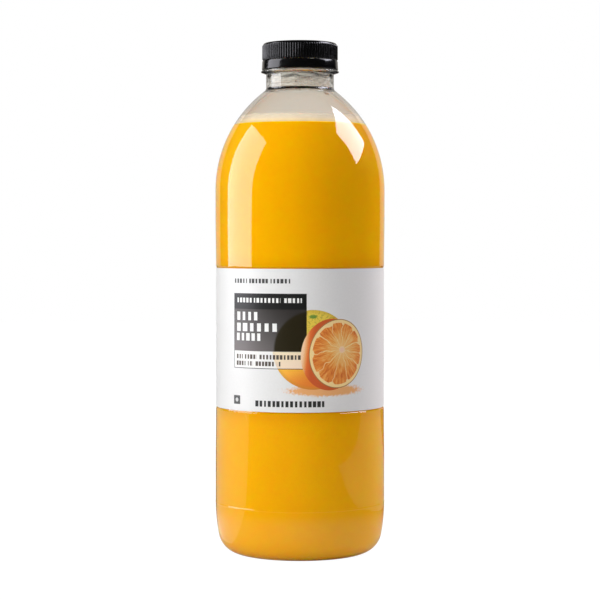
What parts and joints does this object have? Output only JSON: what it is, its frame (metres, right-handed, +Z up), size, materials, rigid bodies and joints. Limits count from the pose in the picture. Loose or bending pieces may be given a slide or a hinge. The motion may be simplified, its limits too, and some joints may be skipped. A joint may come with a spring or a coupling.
{
  "type": "bottle of orange juice",
  "caption": "Sealed clear plastic bottle full of orange juice, with a long round shoulder, a ribbed screw cap with a tamper band and a printed wrap label.",
  "frame": {"origin": "on the floor, at the centre of the ring that the bottle stands on", "axes": "+Z up along the bottle's axis; -Y out of the front of the label; +X to the right when the front is faced"},
  "size_m": [0.0936, 0.0936, 0.2812],
  "materials": {
    "clear_plastic": "clear, blown thin",
    "juice": "cloudy liquid with fine pulp",
    "cap_plastic": "black, moulded, glossy",
    "label_film": "satin printed film"
  },
  "bodies": {
    "root": {"bottle": "clear_plastic", "juice": "juice", "cap": "cap_plastic", "label": "label_film"}
  },
  "joints": []
}
